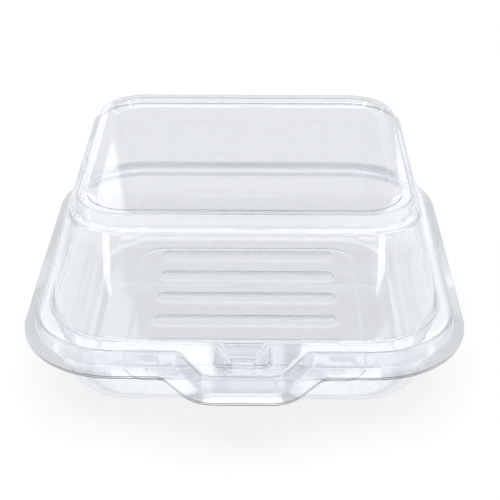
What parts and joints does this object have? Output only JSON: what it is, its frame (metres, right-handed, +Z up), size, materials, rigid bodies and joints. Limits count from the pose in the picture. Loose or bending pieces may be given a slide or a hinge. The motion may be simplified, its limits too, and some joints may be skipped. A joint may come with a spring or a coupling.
{
  "type": "plastic clamshell pack",
  "caption": "Square clear food clamshell: ribbed tray, two-tier lid on a living hinge, wide rounded flange and a front latch tab with a snap pocket.",
  "frame": {"origin": "under the middle of the closed pack's bounding box, on the surface it stands on", "axes": "+Z up, -Y towards the latch at the front, +X to the right seen from the front; the pack is mirrored about X = 0"},
  "size_m": [0.15, 0.1636, 0.0695],
  "materials": {
    "clear_sheet": "clear, glossy"
  },
  "bodies": {
    "base": {"tray": "clear_sheet", "living_hinge": "clear_sheet"},
    "cover": {"lid": "clear_sheet"}
  },
  "joints": [
    {"name": "lid_hinge", "type": "hinge", "parent": "base", "child": "cover", "pos_m": [0, 0.0813, 0.0238], "axis": [-1, 0, 0], "range_deg": [0, 145], "deforming": ["living_hinge"]}
  ]
}
